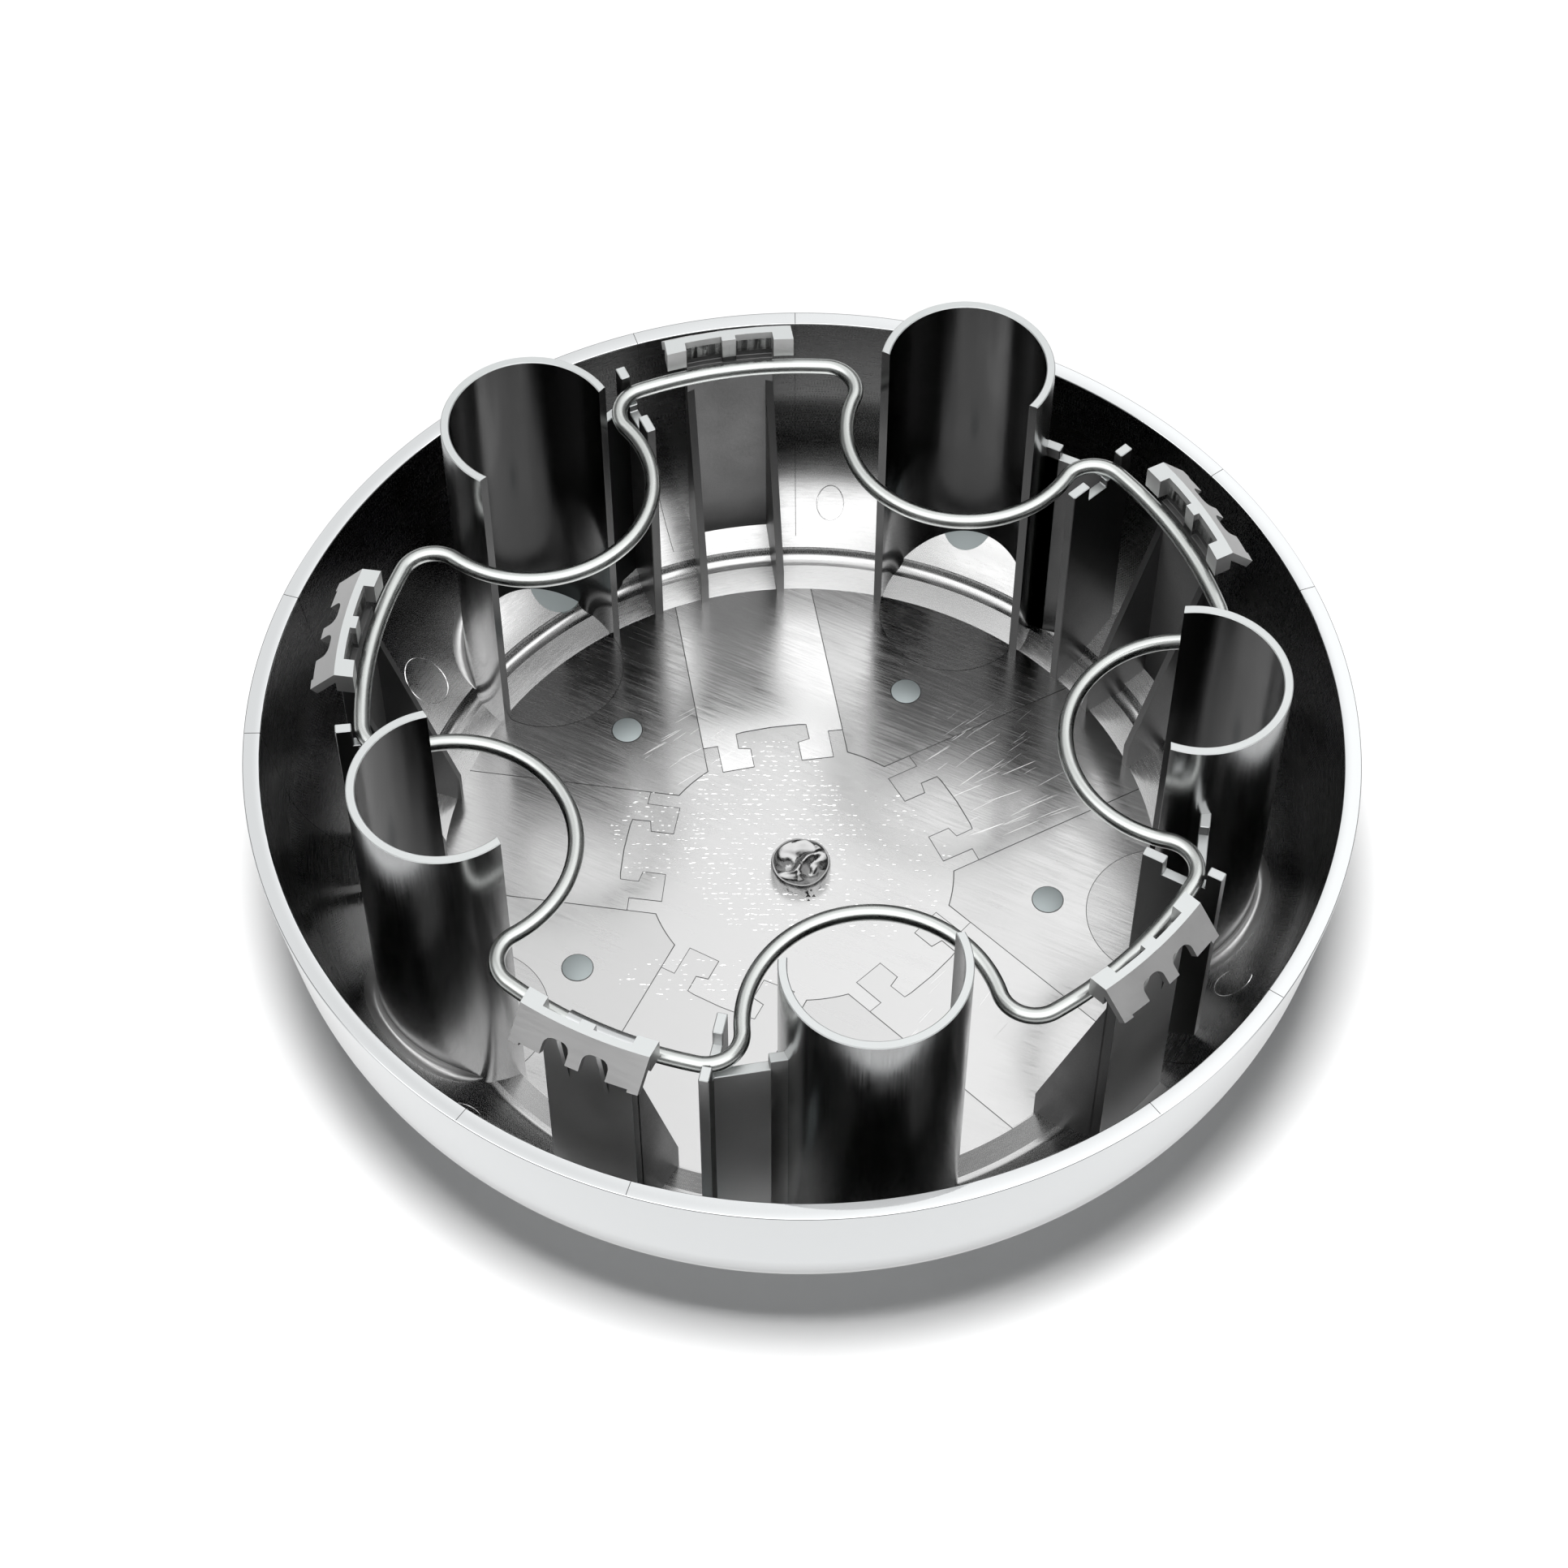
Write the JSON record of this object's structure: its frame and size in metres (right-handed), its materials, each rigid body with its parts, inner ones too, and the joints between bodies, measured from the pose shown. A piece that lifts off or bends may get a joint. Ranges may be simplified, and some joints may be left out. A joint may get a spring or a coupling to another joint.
{
  "type": "wheel centre cap",
  "caption": "Round chrome-plated wheel centre cap seen from its open back, with lug-nut tubes, barbed snap clips and a wavy spring-wire retaining ring.",
  "frame": {"origin": "centre of the outside face, on the plane that the cap rests on", "axes": "+Z out of the open back, along the cap's axis; +Y towards one of the lug-nut tubes"},
  "size_m": [0.166, 0.166, 0.064],
  "materials": {
    "plated_shell": "bright chrome plate on moulded ABS",
    "spring_wire": "bright drawn spring wire",
    "sleeve_steel": "bright rolled steel"
  },
  "bodies": {
    "root": {"cap_moulding": "plated_shell", "retaining_ring": "spring_wire", "ring_sleeve": "sleeve_steel"}
  },
  "joints": []
}
